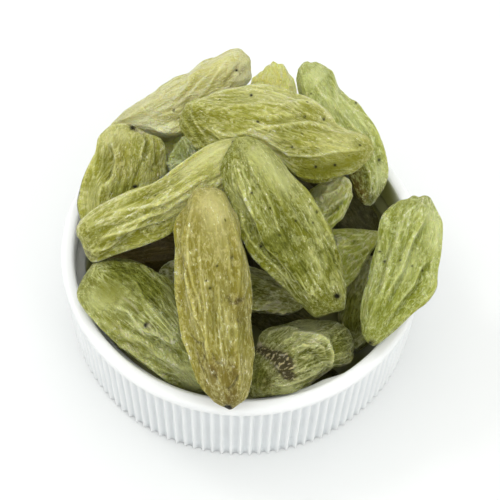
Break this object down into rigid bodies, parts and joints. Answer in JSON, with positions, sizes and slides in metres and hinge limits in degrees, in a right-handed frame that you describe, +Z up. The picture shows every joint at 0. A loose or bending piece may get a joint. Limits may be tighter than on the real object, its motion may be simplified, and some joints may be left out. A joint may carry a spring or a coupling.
{
  "type": "bowl of green raisins",
  "caption": "Long green raisins heaped in a shallow white ribbed screw cap, which stands mouth up as their bowl.",
  "frame": {"origin": "middle of the cap's underside, on the surface that it stands on", "axes": "+Z up along the cap's axis, out of its mouth; the picture is taken from the -Y side, with +X to its right"},
  "size_m": [0.0415, 0.0429, 0.0273],
  "materials": {
    "cap_plastic": "satin",
    "raisin_green": "satin",
    "raisin_amber": "satin"
  },
  "bodies": {
    "root": {"cap": "cap_plastic", "raisin_front": "raisin_amber", "raisin_left": "raisin_green", "raisin_centre": "raisin_green", "raisin_top": "raisin_green", "raisin_back_left": "raisin_amber", "raisin_left_rim": "raisin_green", "raisin_back_right": "raisin_green", "raisin_back": "raisin_amber", "raisin_right_rim": "raisin_green", "raisin_front_left": "raisin_green", "raisin_under_top": "raisin_green", "raisin_right": "raisin_green", "raisin_front_right": "raisin_green", "raisin_middle": "raisin_green", "raisin_under_left": "raisin_green", "raisin_wedge": "raisin_green", "raisin_under_back_left": "raisin_green", "raisin_right_low": "raisin_green", "raisin_right_back_low": "raisin_green", "raisin_floor_left": "raisin_green", "raisin_floor_middle": "raisin_green", "raisin_floor_centre": "raisin_green", "raisin_floor_back": "raisin_green", "raisin_floor_right": "raisin_green", "raisin_lower_left": "raisin_green", "raisin_lower_back": "raisin_green", "raisin_floor_front": "raisin_green", "raisin_floor_rim": "raisin_green", "raisin_prop_back": "raisin_green", "raisin_prop_centre": "raisin_green", "raisin_prop_left": "raisin_green"}
  },
  "joints": []
}
